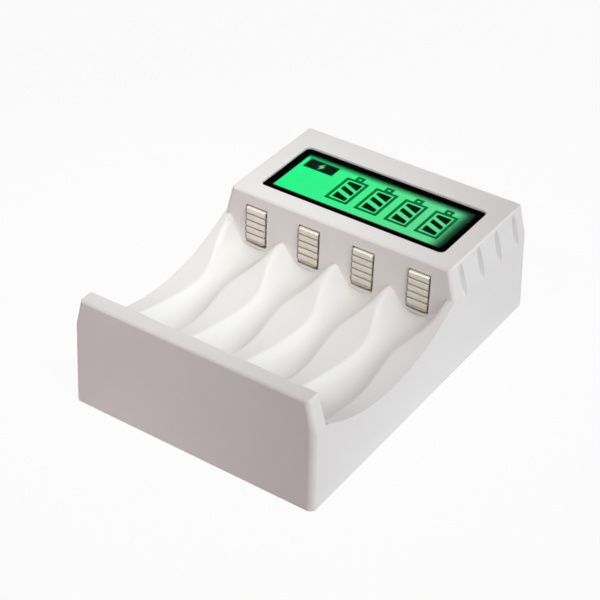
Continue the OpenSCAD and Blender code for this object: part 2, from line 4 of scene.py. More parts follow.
import bpy
import numpy as np
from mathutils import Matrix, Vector


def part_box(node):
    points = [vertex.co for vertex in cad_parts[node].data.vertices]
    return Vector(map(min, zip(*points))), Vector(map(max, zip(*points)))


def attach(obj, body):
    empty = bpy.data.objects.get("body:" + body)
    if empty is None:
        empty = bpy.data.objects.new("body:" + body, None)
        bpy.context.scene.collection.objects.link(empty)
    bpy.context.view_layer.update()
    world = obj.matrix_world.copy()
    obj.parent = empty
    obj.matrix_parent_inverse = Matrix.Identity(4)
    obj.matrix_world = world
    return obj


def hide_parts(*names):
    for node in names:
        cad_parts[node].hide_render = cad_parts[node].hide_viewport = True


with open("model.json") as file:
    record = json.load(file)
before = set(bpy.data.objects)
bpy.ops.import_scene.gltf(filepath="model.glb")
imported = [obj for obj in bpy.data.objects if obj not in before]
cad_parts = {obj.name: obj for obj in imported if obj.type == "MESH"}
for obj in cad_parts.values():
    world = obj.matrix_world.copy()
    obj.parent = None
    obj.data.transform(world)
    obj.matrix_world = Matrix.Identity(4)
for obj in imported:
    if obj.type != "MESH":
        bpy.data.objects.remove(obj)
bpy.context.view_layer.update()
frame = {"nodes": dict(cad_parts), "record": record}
nodes = frame["nodes"]
print("frame loaded,", len(nodes), "nodes")

mm = 0.001
body = "charger_body"
scene = bpy.context.scene
scene.view_settings.view_transform = "Standard"


# small helpers for node trees
def addNode(tree, kind, **settings):
    made = tree.nodes.new(kind)
    for key, value in settings.items():
        setattr(made, key, value)
    return made


def feed(tree, socket, source):
    if isinstance(source, bpy.types.NodeSocket):
        tree.links.new(source, socket)
    else:
        socket.default_value = source


def mathNode(tree, operation, a, b=0.0, clamp=False):
    made = addNode(tree, "ShaderNodeMath", operation=operation, use_clamp=clamp)
    feed(tree, made.inputs[0], a)
    feed(tree, made.inputs[1], b)
    return made.outputs[0]


def mixColour(tree, amount, a, b, blend="MIX"):
    made = addNode(tree, "ShaderNodeMix", data_type="RGBA", blend_type=blend)
    feed(tree, made.inputs[0], amount)
    feed(tree, made.inputs[6], a)
    feed(tree, made.inputs[7], b)
    return made.outputs[2]


def noiseNode(tree, place, scale, detail=2.0, rough=0.5):
    made = addNode(tree, "ShaderNodeTexNoise")
    feed(tree, made.inputs["Vector"], place)
    made.inputs["Scale"].default_value = scale
    made.inputs["Detail"].default_value = detail
    made.inputs["Roughness"].default_value = rough
    return made.outputs["Fac"]


def smoothRange(tree, value, low, high, outLow=0.0, outHigh=1.0):
    made = addNode(tree, "ShaderNodeMapRange", interpolation_type="SMOOTHSTEP")
    feed(tree, made.inputs["Value"], value)
    made.inputs["From Min"].default_value = low
    made.inputs["From Max"].default_value = high
    made.inputs["To Min"].default_value = outLow
    made.inputs["To Max"].default_value = outHigh
    return made.outputs["Result"]


def newGroup(name, inputs, outputs):
    tree = bpy.data.node_groups.new(name, "ShaderNodeTree")
    for label, kind, value in inputs:
        socket = tree.interface.new_socket(label, in_out="INPUT", socket_type=kind)
        if value is not None:
            socket.default_value = value
    for label, kind in outputs:
        tree.interface.new_socket(label, in_out="OUTPUT", socket_type=kind)
    return tree, addNode(tree, "NodeGroupInput"), addNode(tree, "NodeGroupOutput")


# moulded plastic: broad clouds of tone, a fine spark-eroded grain and scattered dull rubs
mould = dict(cloudScale=90.0, rubScale=420.0, strength=0.5)


def makeMouldGrain():
    tree, into, out = newGroup(
        "mouldGrain",
        [("Vector", "NodeSocketVector", None), ("Colour", "NodeSocketColor", (0.8, 0.8, 0.8, 1)),
         ("Cloud", "NodeSocketFloat", 0.02), ("Roughness", "NodeSocketFloat", 0.45),
         ("Spread", "NodeSocketFloat", 0.06), ("Grain", "NodeSocketFloat", 7000.0)],
        [("Colour", "NodeSocketColor"), ("Roughness", "NodeSocketFloat"), ("Height", "NodeSocketFloat")])
    cloud = noiseNode(tree, into.outputs["Vector"], mould["cloudScale"], detail=3.0)
    rubs = noiseNode(tree, into.outputs["Vector"], mould["rubScale"], detail=4.0, rough=0.6)
    fine = addNode(tree, "ShaderNodeTexNoise")
    tree.links.new(into.outputs["Vector"], fine.inputs["Vector"])
    tree.links.new(into.outputs["Grain"], fine.inputs["Scale"])
    tone = mathNode(tree, "MULTIPLY", mathNode(tree, "SUBTRACT", cloud, 0.5), into.outputs["Cloud"])
    lift = mathNode(tree, "ADD", 1.0, tone)
    shade = addNode(tree, "ShaderNodeCombineColor")
    for k in range(3):
        tree.links.new(lift, shade.inputs[k])
    toned = mixColour(tree, 1.0, into.outputs["Colour"], shade.outputs[0], "MULTIPLY")
    tree.links.new(toned, out.inputs["Colour"])
    swing = mathNode(tree, "MULTIPLY", mathNode(tree, "SUBTRACT", rubs, 0.5), into.outputs["Spread"])
    tree.links.new(mathNode(tree, "ADD", into.outputs["Roughness"], swing, True), out.inputs["Roughness"])
    tree.links.new(fine.outputs["Fac"], out.inputs["Height"])
    return tree


# rolled or drawn metal: streaks along one way of the piece, with a little tarnish
metal = dict(stretch=(1.0, 1.0, 0.04), streakScale=9000.0, streakRough=0.2, spotScale=900.0, spotLow=0.45,
             spotHigh=0.75, spotRough=0.3, depth=0.002 * mm, strength=0.4)


def makeMetalStreak():
    tree, into, out = newGroup(
        "metalStreak",
        [("Vector", "NodeSocketVector", None), ("Colour", "NodeSocketColor", (0.7, 0.7, 0.7, 1)),
         ("Tarnish", "NodeSocketColor", (0.4, 0.35, 0.3, 1)), ("Amount", "NodeSocketFloat", 0.2),
         ("Roughness", "NodeSocketFloat", 0.3)],
        [("Colour", "NodeSocketColor"), ("Roughness", "NodeSocketFloat"), ("Height", "NodeSocketFloat")])
    along = addNode(tree, "ShaderNodeMapping")
    along.inputs["Scale"].default_value = metal["stretch"]
    tree.links.new(into.outputs["Vector"], along.inputs["Vector"])
    streak = noiseNode(tree, along.outputs["Vector"], metal["streakScale"], detail=3.0, rough=0.6)
    spots = noiseNode(tree, into.outputs["Vector"], metal["spotScale"], detail=3.0, rough=0.55)
    spots = smoothRange(tree, spots, metal["spotLow"], metal["spotHigh"])
    tarnishAndShade = mathNode(tree, "MULTIPLY", spots, into.outputs["Amount"])
    tree.links.new(mixColour(tree, tarnishAndShade, into.outputs["Colour"], into.outputs["Tarnish"]), out.inputs["Colour"])
    swing = mathNode(tree, "MULTIPLY", mathNode(tree, "SUBTRACT", streak, 0.5), metal["streakRough"])
    rough = mathNode(tree, "ADD", into.outputs["Roughness"], swing)
    rough = mathNode(tree, "ADD", rough, mathNode(tree, "MULTIPLY", tarnishAndShade, metal["spotRough"]), True)
    tree.links.new(rough, out.inputs["Roughness"])
    tree.links.new(streak, out.inputs["Height"])
    return tree


mouldGrain = makeMouldGrain()
metalStreak = makeMetalStreak()


def newMaterial(name):
    made = bpy.data.materials.new(name)
    made.use_nodes = True
    tree = made.node_tree
    shader = tree.nodes["Principled BSDF"]
    place = addNode(tree, "ShaderNodeTexCoord").outputs["Object"]
    return made, tree, shader, place


def bumpInto(tree, shader, height, distance, strength, soften=0.0):
    bump = addNode(tree, "ShaderNodeBump")
    bump.inputs["Distance"].default_value = distance
    bump.inputs["Strength"].default_value = strength
    tree.links.new(height, bump.inputs["Height"])
    if soften:
        edge = addNode(tree, "ShaderNodeBevel", samples=4)
        edge.inputs["Radius"].default_value = soften
        tree.links.new(edge.outputs["Normal"], bump.inputs["Normal"])
    tree.links.new(bump.outputs["Normal"], shader.inputs["Normal"])


def mouldedMaterial(name, colour, rough, cloud=0.02, spread=0.06, grain=7000.0, depth=0.004 * mm, soften=0.0,
                    shine=0.5):
    made, tree, shader, place = newMaterial(name)
    shader.inputs["Specular IOR Level"].default_value = shine
    skin = addNode(tree, "ShaderNodeGroup", node_tree=mouldGrain)
    tree.links.new(place, skin.inputs["Vector"])
    for label, value in (("Colour", (*colour, 1)), ("Cloud", cloud), ("Roughness", rough),
                         ("Spread", spread), ("Grain", grain)):
        skin.inputs[label].default_value = value
    tree.links.new(skin.outputs["Colour"], shader.inputs["Base Color"])
    tree.links.new(skin.outputs["Roughness"], shader.inputs["Roughness"])
    bumpInto(tree, shader, skin.outputs["Height"], depth, mould["strength"], soften)
    return made


def metalMaterial(name, colour, tarnish, rough, amount=0.2):
    made, tree, shader, place = newMaterial(name)
    shader.inputs["Metallic"].default_value = 1.0
    skin = addNode(tree, "ShaderNodeGroup", node_tree=metalStreak)
    tree.links.new(place, skin.inputs["Vector"])
    for label, value in (("Colour", (*colour, 1)), ("Tarnish", (*tarnish, 1)), ("Amount", amount),
                         ("Roughness", rough)):
        skin.inputs[label].default_value = value
    tree.links.new(skin.outputs["Colour"], shader.inputs["Base Color"])
    tree.links.new(skin.outputs["Roughness"], shader.inputs["Roughness"])
    bumpInto(tree, shader, skin.outputs["Height"], metal["depth"], metal["strength"])
    return made


# nickelled contact strips, with painted shade in the valleys between the ribs of the head's strips, a painted
# shadow along their left edge and painted shade at their foot. All in millimetres
strip = dict(pitch=16.0, count=4, halfWidth=3.0, edge=0.4, ribTop=25.8, ribFoot=16.4, ribPitch=1.88, valley=0.2,
             headSide=0.0, soft=0.12, tarnishAndShade=(0.2, 0.17, 0.145, 1), shadeShare=0.85)


def contactMaterial():
    made = metalMaterial("nickelStrip", (0.71, 0.66, 0.6), (0.5, 0.44, 0.38), 0.42, 0.25)
    tree = made.node_tree
    shader = tree.nodes["Principled BSDF"]
    skin = shader.inputs["Base Color"].links[0].from_socket
    axes = addNode(tree, "ShaderNodeSeparateXYZ")
    tree.links.new(addNode(tree, "ShaderNodeTexCoord").outputs["Object"], axes.inputs[0])
    x, y, z = axes.outputs
    soft = strip["soft"] * mm
    ribPitch = strip["ribPitch"] * mm
    level = mathNode(tree, "DIVIDE", mathNode(tree, "SUBTRACT", z, strip["ribFoot"] * mm), ribPitch)
    away = mathNode(tree, "ABSOLUTE", mathNode(tree, "SUBTRACT", level, mathNode(tree, "ROUND", level)))
    away = mathNode(tree, "MULTIPLY", away, ribPitch)
    valley = smoothRange(tree, away, strip["valley"] * mm + soft, strip["valley"] * mm - soft)
    topEdge = (strip["ribTop"] - strip["edge"]) * mm
    below = smoothRange(tree, z, topEdge, topEdge - strip["edge"] * mm)
    valley = mathNode(tree, "MULTIPLY", valley, below)
    shift = strip["pitch"] * strip["count"] / 2
    column = mathNode(tree, "DIVIDE", mathNode(tree, "ADD", x, shift * mm), strip["pitch"] * mm)
    column = mathNode(tree, "SUBTRACT", mathNode(tree, "FRACT", column), 0.5)
    inner = (strip["halfWidth"] - strip["edge"]) * mm
    edge = smoothRange(tree, mathNode(tree, "MULTIPLY", column, strip["pitch"] * mm), soft - inner, -soft - inner)
    foot = smoothRange(tree, z, strip["ribFoot"] * mm, (strip["ribFoot"] - strip["edge"]) * mm)
    # painted shade: the rib valleys and the foot darkened, and a painted shadow along the left edge
    dark = mathNode(tree, "MAXIMUM", mathNode(tree, "MAXIMUM", valley, edge), foot)
    dark = mathNode(tree, "MULTIPLY", dark, smoothRange(tree, y, strip["headSide"], strip["headSide"] + soft))
    dark = mathNode(tree, "MULTIPLY", dark, strip["shadeShare"])
    tree.links.new(mixColour(tree, dark, skin, strip["tarnishAndShade"]), shader.inputs["Base Color"])
    return made


# clear cover with a bloomed, almost reflection-free face and the faintest ripple
cover = dict(tint=(0.97, 0.99, 0.98, 1), index=1.05, rough=0.03,
             rippleScale=60.0, ripple=0.01 * mm, strength=0.15)


def coverMaterial():
    made, tree, shader, place = newMaterial("clearCover")
    shader.inputs["Base Color"].default_value = cover["tint"]
    shader.inputs["Transmission Weight"].default_value = 1.0
    shader.inputs["IOR"].default_value = cover["index"]
    shader.inputs["Roughness"].default_value = cover["rough"]
    ripple = noiseNode(tree, place, cover["rippleScale"], detail=1.0)
    bumpInto(tree, shader, ripple, cover["ripple"], cover["strength"])
    return made


# lit panel: brighter at the left, darker to the right, with a painted shadow of the frame along the rear and
# right borders
lit = dict(left=(0.014, 0.9, 0.25, 1), right=(0.12, 0.68, 0.28, 1), dark=(0.0, 0.012, 0.004, 1),
           leftBorder=2.0, rightBorder=2.4, frontBorder=2.2, rearBorder=1.8,
           leftFade=0.4, rightShadow=4.2, frontFade=0.5, rearShadow=2.6, strength=1.0,
           mottleScale=260.0, mottle=0.04, base=(0.005, 0.02, 0.01, 1), rough=0.35)


def litMaterial():
    made, tree, shader, place = newMaterial("litPanel")
    frameLow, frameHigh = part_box("display_mask")
    axes = addNode(tree, "ShaderNodeSeparateXYZ")
    tree.links.new(place, axes.inputs[0])
    x, y = axes.outputs[0], axes.outputs[1]
    xLow, xHigh = frameLow[0] + lit["leftBorder"] * mm, frameHigh[0] - lit["rightBorder"] * mm
    yLow, yHigh = frameLow[1] + lit["frontBorder"] * mm, frameHigh[1] - lit["rearBorder"] * mm
    hue = mixColour(tree, smoothRange(tree, x, xLow, xHigh), lit["left"], lit["right"])
    # painted shadow of the frame along the rear border
    fade = smoothRange(tree, y, yHigh, yHigh - lit["rearShadow"] * mm)
    # painted shadow of the frame along the right border; the left and front borders only soften the field's edge
    borders = ((x, xHigh, -lit["rightShadow"]), (x, xLow, lit["leftFade"]), (y, yLow, lit["frontFade"]))
    for axis, border, width in borders:
        fade = mathNode(tree, "MULTIPLY", fade, smoothRange(tree, axis, border, border + width * mm))
    mottle = noiseNode(tree, place, lit["mottleScale"])
    mottle = smoothRange(tree, mottle, 0.0, 1.0, 1 - lit["mottle"], 1 + lit["mottle"])
    fade = mathNode(tree, "MULTIPLY", fade, mottle)
    glow = mixColour(tree, fade, lit["dark"], hue)
    shader.inputs["Base Color"].default_value = lit["base"]
    shader.inputs["Roughness"].default_value = lit["rough"]
    shader.inputs["Specular IOR Level"].default_value = 0.0
    tree.links.new(glow, shader.inputs["Emission Color"])
    shader.inputs["Emission Strength"].default_value = lit["strength"]
    return made


# printed segments of the panel, a little patchy
ink = dict(patchScale=1500.0, low=0.2, high=0.8, swing=0.15, rough=0.5)


def inkMaterial(name, colour, glow):
    made, tree, shader, place = newMaterial(name)
    patch = noiseNode(tree, place, ink["patchScale"])
    tone = smoothRange(tree, patch, ink["low"], ink["high"], 1 - ink["swing"], 1 + ink["swing"])
    shade = addNode(tree, "ShaderNodeCombineColor")
    for k in range(3):
        tree.links.new(mathNode(tree, "MULTIPLY", tone, glow[k]), shade.inputs[k])
    shader.inputs["Base Color"].default_value = (*colour, 1)
    shader.inputs["Roughness"].default_value = ink["rough"]
    shader.inputs["Specular IOR Level"].default_value = 0.0
    tree.links.new(shade.outputs[0], shader.inputs["Emission Color"])
    shader.inputs["Emission Strength"].default_value = 1.0
    return made


# circuit board: green resist over a faint net of copper tracks
def boardMaterial():
    made, tree, shader, place = newMaterial("boardResist")
    skin = addNode(tree, "ShaderNodeGroup", node_tree=mouldGrain)
    tree.links.new(place, skin.inputs["Vector"])
    tracks = addNode(tree, "ShaderNodeTexBrick", offset=0.37, squash=1.6, squash_frequency=3)
    tree.links.new(place, tracks.inputs["Vector"])
    for label, value in (("Scale", 120.0), ("Mortar Size", 0.035), ("Mortar Smooth", 0.1), ("Brick Width", 0.6),
                         ("Row Height", 0.22), ("Color1", (0.012, 0.11, 0.035, 1)),
                         ("Color2", (0.014, 0.125, 0.04, 1)), ("Mortar", (0.03, 0.19, 0.06, 1))):
        tracks.inputs[label].default_value = value
    for label, value in (("Cloud", 0.1), ("Roughness", 0.35), ("Spread", 0.1), ("Grain", 3000.0)):
        skin.inputs[label].default_value = value
    tree.links.new(tracks.outputs["Color"], skin.inputs["Colour"])
    tree.links.new(skin.outputs["Colour"], shader.inputs["Base Color"])
    tree.links.new(skin.outputs["Roughness"], shader.inputs["Roughness"])
    bumpInto(tree, shader, tracks.outputs["Fac"], distance=0.03 * mm, strength=0.4)
    return made


finishes = {
    "white_plastic": mouldedMaterial("whiteHousing", (0.83, 0.83, 0.832), 0.46, soften=0.25 * mm),
    "base_plastic": mouldedMaterial("whiteBase", (0.78, 0.78, 0.78), 0.5),
    "screw_steel": metalMaterial("screwZinc", (0.62, 0.62, 0.64), (0.35, 0.34, 0.33), 0.35),
    "clear_cover": coverMaterial(),
    "black_frame": mouldedMaterial("blackBorder", (0.004, 0.004, 0.005), 0.35, grain=4000.0, shine=0.02),
    "display_glass": litMaterial(),
    "light_guide": mouldedMaterial("lightGuide", (0.12, 0.8, 0.35), 0.2),
    "led_resin": mouldedMaterial("lampResin", (0.8, 0.9, 0.7), 0.15),
    "pin_metal": metalMaterial("tinnedPins", (0.72, 0.72, 0.72), (0.45, 0.45, 0.44), 0.3),
    "board": boardMaterial(),
    "black_resin": mouldedMaterial("blackResin", (0.02, 0.02, 0.021), 0.5, cloud=0.2),
    "gold_pins": metalMaterial("goldPins", (0.8, 0.6, 0.25), (0.5, 0.35, 0.14), 0.25),
    "inlet_steel": metalMaterial("inletSteel", (0.66, 0.66, 0.67), (0.4, 0.39, 0.38), 0.3),
    "resistor_body": mouldedMaterial("resistorBody", (0.04, 0.04, 0.042), 0.4, cloud=0.2),
    "ferrite": mouldedMaterial("darkFerrite", (0.08, 0.08, 0.085), 0.6, cloud=0.25),
    "capacitor_can": metalMaterial("aluminiumCan", (0.75, 0.76, 0.78), (0.5, 0.5, 0.5), 0.25),
    "contact_metal": contactMaterial(),
}
for part in frame["record"]["subparts"]:
    mesh = nodes[part["node"]].data
    mesh.materials.clear()
    mesh.materials.append(finishes[part["material_slot"]])


# the cells' bed: a round dip right across, a cradle with a sunken relief under each cell and a level for the
# ridges between them, as the frame has it, but with every ridge rolled over softly. All in millimetres
bed = dict(cells=(-24.0, -8.0, 8.0, 24.0), cradleR=7.7, softR=7.4, restZ=13.9, ridgeZ=19.2,
           reliefR=7.0, reliefZ=18.5, relief=2.4, reliefLength=32.0, reliefY=-20.6,
           dipR=49.863, dipY=-14.5, dipZ=13.7, landR=0.35, endR=1.2, endFrom=14.0, endTo=22.0,
           tipR=3.2, blend=1.5,
           halfWidth=34.0, draft=0.5, creaseZ=21.2, lowZ=10.0, highZ=24.0, footZ=13.9, topZ=29.5,
           frontY=-40.8, frontLean=0.5, headY=11.8, headLean=0.9,
           notchX=3.15, notchY=-39.8, columns=409, rows=152, notchRows=4,
           halvings=40, wallPasses=4, slopeStep=1e-4)


# two hollows joined by a roll of radius r, as max(r, min(a, b)) - hypot(r - a, r - b)
def rollJoin(a, b, r):
    return np.maximum(r, np.minimum(a, b)) - np.hypot(np.maximum(r - a, 0), np.maximum(r - b, 0))


# two hollows run together over the width k, as min(a, b) - (k - |a - b|) squared / 4k
def blendJoin(a, b, k):
    return np.minimum(a, b) - np.maximum(k - np.abs(a - b), 0) ** 2 / (4 * k)


def smoothStep(value, low, high):
    share = np.clip((value - low) / (high - low), 0, 1)
    return share * share * (3 - 2 * share)


# distance to the bed, below zero in the empty room above it
def bedField(x, y, z, soft):
    barrelR = ((bed["reliefLength"] / 2) ** 2 + bed["relief"] ** 2) / (2 * bed["relief"])
    bulge = np.sqrt(np.maximum(barrelR ** 2 - (y - bed["reliefY"]) ** 2, 0.0)) - barrelR
    toEnd = smoothStep(np.abs(y - bed["dipY"]), bed["endFrom"], bed["endTo"])
    landR = bed["landR"] + (bed["endR"] - bed["landR"]) * toEnd
    dip = np.hypot(y - bed["dipY"], z - bed["dipZ"] - bed["dipR"]) - bed["dipR"]
    level = np.where(np.abs(x) < bed["cells"][-1], bed["ridgeZ"] - z, dip)
    hollows = np.full_like(dip + x, bed["dipR"])
    cradleR = bed["softR"] if soft else bed["cradleR"]
    for cellX in bed["cells"]:
        cradle = np.hypot(x - cellX, z - bed["restZ"] - cradleR) - cradleR
        relief = np.hypot(x - cellX, z - bed["reliefZ"]) - bed["reliefR"] - bulge
        if soft:
            hollows = rollJoin(hollows, blendJoin(cradle, relief, bed["blend"]), bed["tipR"])
        else:
            hollows = np.minimum(hollows, np.minimum(cradle, relief))
    return rollJoin(hollows, dip, landR) if soft else np.minimum(np.minimum(hollows, dip), level)


# height of the bed at x and y: the field's zero, found by halving
def bedHeight(x, y, soft):
    low = np.full(np.broadcast(x, y).shape, bed["lowZ"])
    high = np.full_like(low, bed["highZ"])
    for _ in range(bed["halvings"]):
        mid = (low + high) / 2
        inside = bedField(x, y, mid, soft) > 0
        low = np.where(inside, mid, low)
        high = np.where(inside, high, mid)
    return (low + high) / 2


def frontWallY(z):
    return bed["frontY"] - bed["frontLean"] * (z - bed["footZ"]) / (bed["topZ"] - bed["footZ"])


def headWallY(z):
    return bed["headY"] + bed["headLean"] * (z - bed["footZ"]) / (bed["topZ"] - bed["footZ"])


# the bed as a grid: columns over x, out to the leaning sides, and rows from the front wall's face to the head's.
# Some columns and one row lie on the edges of the notches under the spring leaves
def bedGrid():
    x = np.linspace(-bed["halfWidth"], bed["halfWidth"], bed["columns"])
    edges = (np.array(bed["cells"])[:, None] + np.array([-1, 1]) * bed["notchX"]).reshape(-1)
    x[np.abs(x[:, None] - edges).argmin(axis=0)] = edges
    front, back = np.full_like(x, bed["frontY"]), np.full_like(x, bed["headY"])
    for _ in range(bed["wallPasses"]):
        front = frontWallY(bedHeight(x, front, True))
        back = headWallY(bedHeight(x, back, True))
    near = np.linspace(0, 1, bed["notchRows"])[:-1, None]
    far = np.linspace(0, 1, bed["rows"] - bed["notchRows"] + 1)[:, None]
    y = np.concatenate([front + near * (bed["notchY"] - front), bed["notchY"] + far * (back - bed["notchY"])])
    sideZ = bedHeight(np.full(len(y), bed["halfWidth"]), y[:, 0], True)
    reach = 1 + bed["draft"] * (1 - sideZ / bed["creaseZ"]) / bed["halfWidth"]
    past = smoothStep(np.abs(x), bed["cells"][-1] + bed["cradleR"], bed["halfWidth"])
    xx = x * (1 + past * (reach[:, None] - 1))
    zz = bedHeight(xx, y, True)
    step = bed["slopeStep"]
    slope = np.stack([bedField(xx + step, y, zz, True) - bedField(xx - step, y, zz, True),
                      bedField(xx, y + step, zz, True) - bedField(xx, y - step, zz, True),
                      bedField(xx, y, zz + step, True) - bedField(xx, y, zz - step, True)], axis=2)
    slope /= -np.linalg.norm(slope, axis=2, keepdims=True)
    return np.stack([xx, y, zz], axis=2), slope


# true for each face of the grid that would cover a notch
def overNotch(grid):
    mid = (grid[:-1, :-1] + grid[1:, 1:]) / 2
    aside = np.abs(mid[:, :, 0, None] - np.array(bed["cells"])).min(axis=2)
    return ((aside < bed["notchX"]) & (mid[:, :, 1] < bed["notchY"])).reshape(-1)


def gridQuads(rows, columns, start):
    k = start + np.arange(rows * columns).reshape(rows, columns)
    return np.stack([k[:-1, :-1], k[:-1, 1:], k[1:, 1:], k[1:, :-1]], axis=2).reshape(-1, 4)


# the frame's housing with its sharp bed taken out and the soft one put in; small upright strips close
# the walls where a softened ridge is lower than the sharp one. In millimetres, upward as a share of one
shell = dict(nearBed=0.12, wallGap=0.01, upward=0.2, weldDigits=4, recess=0.004, tall=0.003, lean=0.03)


def makeHousingShell():
    source = nodes["top_housing"].data
    points = np.empty(len(source.vertices) * 3)
    source.vertices.foreach_get("co", points)
    points = points.reshape(-1, 3) / mm
    corners = np.empty(len(source.loops), np.int64)
    source.loops.foreach_get("vertex_index", corners)
    tris = corners.reshape(-1, 3)
    normals = np.empty(len(source.loops) * 3)
    source.corner_normals.foreach_get("vector", normals)
    normals = normals.reshape(-1, 3, 3)
    a, b, c = (points[tris[:, k]] for k in range(3))
    face = np.cross(b - a, c - a)
    face /= np.maximum(np.linalg.norm(face, axis=1, keepdims=True), 1e-12)
    mid = (a + b + c) / 3
    x, y, z = mid.T
    onBed = np.abs(bedHeight(x, y, False) - z) < shell["nearBed"]
    within = (y > frontWallY(z) + shell["wallGap"]) & (y < headWallY(z) - shell["wallGap"])
    keep = ~(onBed & within & (face[:, 2] > shell["upward"]))
    merged, back = np.unique(np.round(points, shell["weldDigits"]), axis=0, return_inverse=True)
    tris = back.reshape(-1)[tris[keep]]
    whole = (tris[:, 0] != tris[:, 1]) & (tris[:, 1] != tris[:, 2]) & (tris[:, 2] != tris[:, 0])
    tris, triNormals = tris[whole], normals[keep][whole]

    grid, gridNormals = bedGrid()
    rows, columns = grid.shape[:2]
    quads = gridQuads(rows, columns, len(merged))[~overNotch(grid)]
    allPoints = [merged, grid.reshape(-1, 3)]
    faces = [tris.tolist(), quads.tolist()]
    faceNormals = [triNormals.reshape(-1, 3), gridNormals.reshape(-1, 3)[quads - len(merged)].reshape(-1, 3)]
    start = len(merged) + rows * columns
    for edgeRow, wallY, sign in ((grid[0], frontWallY, 1.0), (grid[-1], headWallY, -1.0)):
        inset = sign * shell["recess"]
        sharp = bedHeight(edgeRow[:, 0], edgeRow[:, 1], False)
        upper = np.stack([edgeRow[:, 0], wallY(sharp) - inset, sharp], axis=1)
        lower = edgeRow - [0, inset, 0]
        tall = sharp - edgeRow[:, 2] > shell["tall"]
        filler = gridQuads(2, columns, start)[tall[:-1] | tall[1:]]
        filler = filler[:, ::-1] if sign > 0 else filler
        allPoints += [lower, upper]
        faces.append(filler.tolist())
        faceNormals.append(np.tile([0.0, sign, shell["lean"]], (filler.size, 1)))
        start += 2 * columns
    mesh = bpy.data.meshes.new("housingShell")
    mesh.from_pydata((np.concatenate(allPoints) * mm).tolist(), [], [f for part in faces for f in part])
    mesh.update()
    mesh.polygons.foreach_set("use_smooth", np.ones(len(mesh.polygons), bool))
    mesh.normals_split_custom_set(np.concatenate(faceNormals).tolist())
    mesh.materials.append(finishes["white_plastic"])
    made = bpy.data.objects.new("housingShell", mesh)
    scene.collection.objects.link(made)
    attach(made, body)
    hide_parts("top_housing")
    print("housing shell:", int((~keep).sum()), "sharp faces out,", len(quads), "soft faces in")


makeHousingShell()


# the corners of flat shapes, an array of shapes by corners by 2, laid at a low and a high level
def twoLevels(shapes, low, high):
    count, corners, _ = shapes.shape
    levels = np.array([low, high])
    flat = np.broadcast_to(shapes[:, None], (count, 2, corners, 2))
    height = np.broadcast_to(levels[None, :, None, None], (count, 2, corners, 1))
    return np.concatenate([flat, height], axis=3).reshape(-1, 3)


# flat closed plates for the panel's symbols: every shape in one piece has the same number of corners
def plateArrays(shapes, low, high):
    count, corners, _ = shapes.shape
    start = np.arange(count)[:, None] * 2 * corners
    ring = np.arange(corners)
    bottom = start + ring[::-1]
    top = start + corners + ring
    after = np.roll(ring, -1)
    sides = np.stack([ring, after, after + corners, ring + corners], axis=1)[None] + start[:, :, None]
    return twoLevels(shapes, low, high), [bottom, top, sides.reshape(-1, 4)]


# a frame shape: the outline's four corners outside, and the same four moved in by the line's width.
# Corners 0 to 3 lie outside, 4 to 7 inside, 8 to 15 likewise at the high level
def frameArrays(rects, line, low, high):
    inner = rects + line * np.array([[1, 1], [-1, 1], [-1, -1], [1, -1]])
    both = np.concatenate([rects, inner], axis=1)
    start = np.arange(len(rects))[:, None, None] * 16
    ring = np.arange(4)
    after = np.roll(ring, -1)
    top = np.stack([ring + 8, after + 8, after + 12, ring + 12], axis=1)
    bottom = np.stack([ring + 4, after + 4, after, ring], axis=1)
    outside = np.stack([ring, after, after + 8, ring + 8], axis=1)
    inside = np.stack([after + 4, ring + 4, ring + 12, after + 12], axis=1)
    quads = np.concatenate([top, bottom, outside, inside])[None] + start
    return twoLevels(both, low, high), [quads.reshape(-1, 4)]


def placeSymbol(name, arrays, material):
    points, groups = arrays
    mesh = bpy.data.meshes.new(name)
    mesh.from_pydata((points * mm).tolist(), [], [face for g in groups for face in g.tolist()])
    mesh.validate()
    mesh.update()
    mesh.materials.append(material)
    made = bpy.data.objects.new(name, mesh)
    scene.collection.objects.link(made)
    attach(made, body)


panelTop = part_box("lcd_panel")[1][2] / mm
symbols = dict(firstX=-10.8, lowY=22.95, pitch=8.75, count=4, width=6.6, length=10.8, line=0.8,
               nubWidth=2.3, nubLength=2.2, nubLine=0.75, nubLift=0.01, print=0.03)
bars = dict(left=0.215, right=0.815, edges=((0.14, 0.105, 0.365, 0.235), (0.505, 0.365, 0.655, 0.51),
                                           (0.765, 0.615, 0.875, 0.875)))
tag = dict(left=-23.4, right=-14.5, low=31.8, high=35.9)
bolt = dict(midX=-18.95, midY=33.85, scale=1.25,
            points=((0.35, 1.3), (-0.75, -0.15), (-0.08, -0.15), (-0.35, -1.3), (0.75, 0.2), (0.08, 0.2)))

printTop = panelTop + symbols["print"]
symbolX = symbols["firstX"] + symbols["pitch"] * np.arange(symbols["count"])
cellSize = np.array([symbols["width"], symbols["length"]])
unitRect = np.array([[0, 0], [1, 0], [1, 1], [0, 1]], float)
origin = np.stack([symbolX, np.full_like(symbolX, symbols["lowY"])], axis=1)[:, None]
bodies = origin + unitRect * cellSize
nubSize = np.array([symbols["nubWidth"], symbols["nubLength"]])
nubOrigin = origin + [symbols["width"] / 2 - symbols["nubWidth"] / 2, symbols["length"] - symbols["nubLine"] / 2]
nubs = nubOrigin + unitRect * nubSize
outlineInk = inkMaterial("outlineInk", (0.0, 0.03, 0.01), (0.0, 0.11, 0.022))
barInk = inkMaterial("barInk", (0.0, 0.004, 0.001), (0.0, 0.006, 0.0015))
boltInk = inkMaterial("boltInk", (0.02, 0.1, 0.05), (0.16, 0.5, 0.26))

